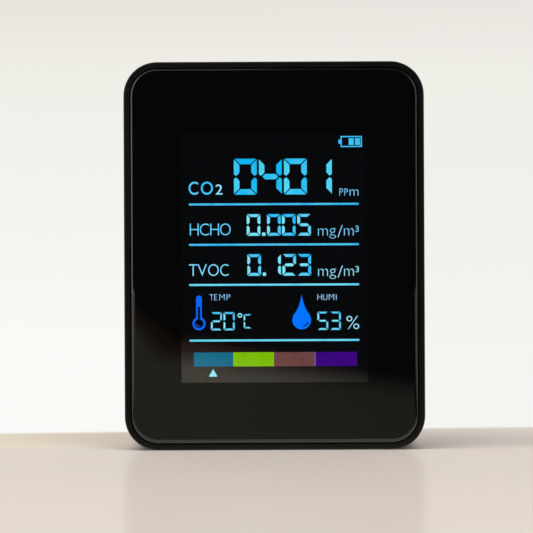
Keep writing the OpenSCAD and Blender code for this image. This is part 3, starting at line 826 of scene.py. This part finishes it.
def floor_material():
    """A pale, faintly polished table top with white beyond it. Along its back its colour carries painted
    light, a little brighter and warmer on the left; reflections see painted reflection tones instead.
    """
    n = Nodes("table_top")
    place = n.place()
    xyz = n.add("ShaderNodeSeparateXYZ", Vector=place).outputs
    fine = n.noise(700, 3, 0.5, place)
    across = n.ramp(xyz["X"], -0.06, 0.06)
    back = n.ramp(xyz["Y"], -0.007, -0.001)
    # Painted light: along the back of the table its colour is lifted, a little brighter and warmer on the
    # left, about even on the right.
    painted_back_light = n.blend(across, (1.07, 1.05, 0.95, 1), (1.0, 1.01, 1.02, 1))
    tone = n.blend(back, TABLE_COLOUR, n.blend(1.0, painted_back_light, TABLE_COLOUR, "MULTIPLY"))
    tone = n.blend(n.ramp(fine, 0.3, 0.7, 0.0, 0.03), tone, (0.6, 0.55, 0.48, 1))
    matt = n.add("ShaderNodeBsdfDiffuse", Color=tone, Normal=n.bump(fine, 0.00002, 0.3))
    polish = n.add("ShaderNodeBsdfGlossy", Color=(1, 1, 1, 1), Roughness=0.19)
    table = n.mix_shaders(0.12, matt, polish)
    beyond = n.blend(across, linear(250, 249, 247), linear(245, 244, 240))
    white = n.add("ShaderNodeEmission", Color=beyond)
    past = n.math("SUBTRACT", xyz["Y"], n.math("MULTIPLY", xyz["X"], TABLE_SKEW))
    seen = n.mix_shaders(n.ramp(past, TABLE_BACK - 0.002, TABLE_BACK + 0.008), table, white)
    # Camera and diffuse rays see the table; the other rays, reflections among them, see the painted
    # reflection tones.
    path = n.add("ShaderNodeLightPath").outputs
    direct = n.math("MAXIMUM", path["Is Camera Ray"], path["Is Diffuse Ray"])
    return n.surface(n.mix_shaders(direct, painted_reflection_floor(n, xyz), seen))


def gradient(n, value, stops):
    """A colour that runs through stops, each a value and an sRGB colour."""
    lowest, highest = stops[0][0], stops[-1][0]
    node = n.add("ShaderNodeValToRGB")
    n.put(node.inputs[0], n.line(value, lowest, highest))
    ramp = node.color_ramp
    while len(ramp.elements) < len(stops):
        ramp.elements.new(0.5)
    for element, (at, colour) in zip(ramp.elements, stops):
        element.position = (at - lowest) / (highest - lowest)
        element.color = linear(*colour)
    return node.outputs[0]


def wall_material():
    """A glowing white backdrop with painted light falloff: it darkens towards its top, and a little
    towards its right.
    """
    n = Nodes("backdrop")
    xyz = n.add("ShaderNodeSeparateXYZ", Vector=n.place()).outputs
    left = [(-0.04, (250, 249, 247)), (0.01, (249, 248, 246)), (0.054, (245, 244, 240)),
            (0.1, (242, 241, 237)), (0.145, (239, 238, 231)), (0.185, (232, 228, 222))]
    right = [(-0.04, (245, 244, 240)), (0.054, (242, 241, 237)), (0.1, (240, 239, 235)),
             (0.145, (239, 238, 231)), (0.185, (233, 229, 224))]
    tone = n.blend(n.ramp(xyz["X"], -0.08, 0.1),
                   gradient(n, xyz["Z"], left), gradient(n, xyz["Z"], right))
    return n.surface(n.add("ShaderNodeEmission", Color=tone, Strength=1.0))


def area_light(name, place, aim, size, power, colour):
    """A soft lamp that lights matt surfaces, and isn't seen in polished ones."""
    data = bpy.data.lights.new(name, "AREA")
    data.shape = "RECTANGLE"
    data.size, data.size_y = size
    data.energy = power
    data.color = colour
    lamp = bpy.data.objects.new(name, data)
    lamp.visible_glossy = False
    lamp.location = place
    lamp.rotation_euler = (Vector(aim) - Vector(place)).to_track_quat("-Z", "Y").to_euler()
    bpy.context.scene.collection.objects.link(lamp)


def make_world():
    """White where the camera looks, dim for the light that it gives, and for reflections bright at
    the sides and dark straight in front, where the photographer stands."""
    world = bpy.data.worlds.new("world")
    bpy.context.scene.world = world
    n = Nodes("world", world)
    compass = n.add("ShaderNodeTexCoord").outputs["Generated"]
    way = n.add("ShaderNodeSeparateXYZ", Vector=compass).outputs
    path = n.add("ShaderNodeLightPath").outputs
    sideways = n.math("MULTIPLY", n.ramp(way["Y"], -0.6, -0.3), n.ramp(way["Y"], 0.2, 0.0, 0.5, 1.0))
    level = n.ramp(way["Z"], 0.9, 0.5, n.ramp(way["X"], 0.02, -0.02, 0.08, 0.4), 1.0)
    glow = n.math("MULTIPLY", sideways, level)
    glow = n.math("MULTIPLY", glow, n.ramp(way["X"], 1.0, -1.0, 1.2, 2.4))
    glow = n.math("ADD", glow, 0.013)
    seen = n.add("ShaderNodeBackground", Color=linear(240, 238, 234))
    given = n.add("ShaderNodeBackground", Color=(0.06, 0.06, 0.062, 1))
    mirrored = n.add("ShaderNodeBackground", Color=(1, 1, 1, 1), Strength=glow)
    light = n.mix_shaders(path["Is Diffuse Ray"], mirrored, given)
    n.surface(n.mix_shaders(path["Is Camera Ray"], light, seen))


def make_stage():
    """The table, the backdrop behind it, the lamp and the world."""
    far = 3.0
    half, low, high = 1.2, -0.3, 1.2
    stage_plane("floor", [(-far, -far, 0), (far, -far, 0), (far, far, 0), (-far, far, 0)],
                floor_material())
    stage_plane("backdrop", [(-half, WALL_DISTANCE, low), (half, WALL_DISTANCE, low),
                             (half, WALL_DISTANCE, high), (-half, WALL_DISTANCE, high)],
                wall_material())
    area_light("top_softbox", place=(-0.1, -0.32, 0.85), aim=(0, 0, 0), size=(1.2, 0.5),
               power=8.45, colour=(1, 0.99, 0.975))
    make_world()
    view = bpy.context.scene.view_settings
    view.view_transform = "Standard"
    view.look = "None"


make_camera()
slot_materials = dress_nodes()
draw_display()
button_marks()
port_contacts(slot_materials)
make_stage()
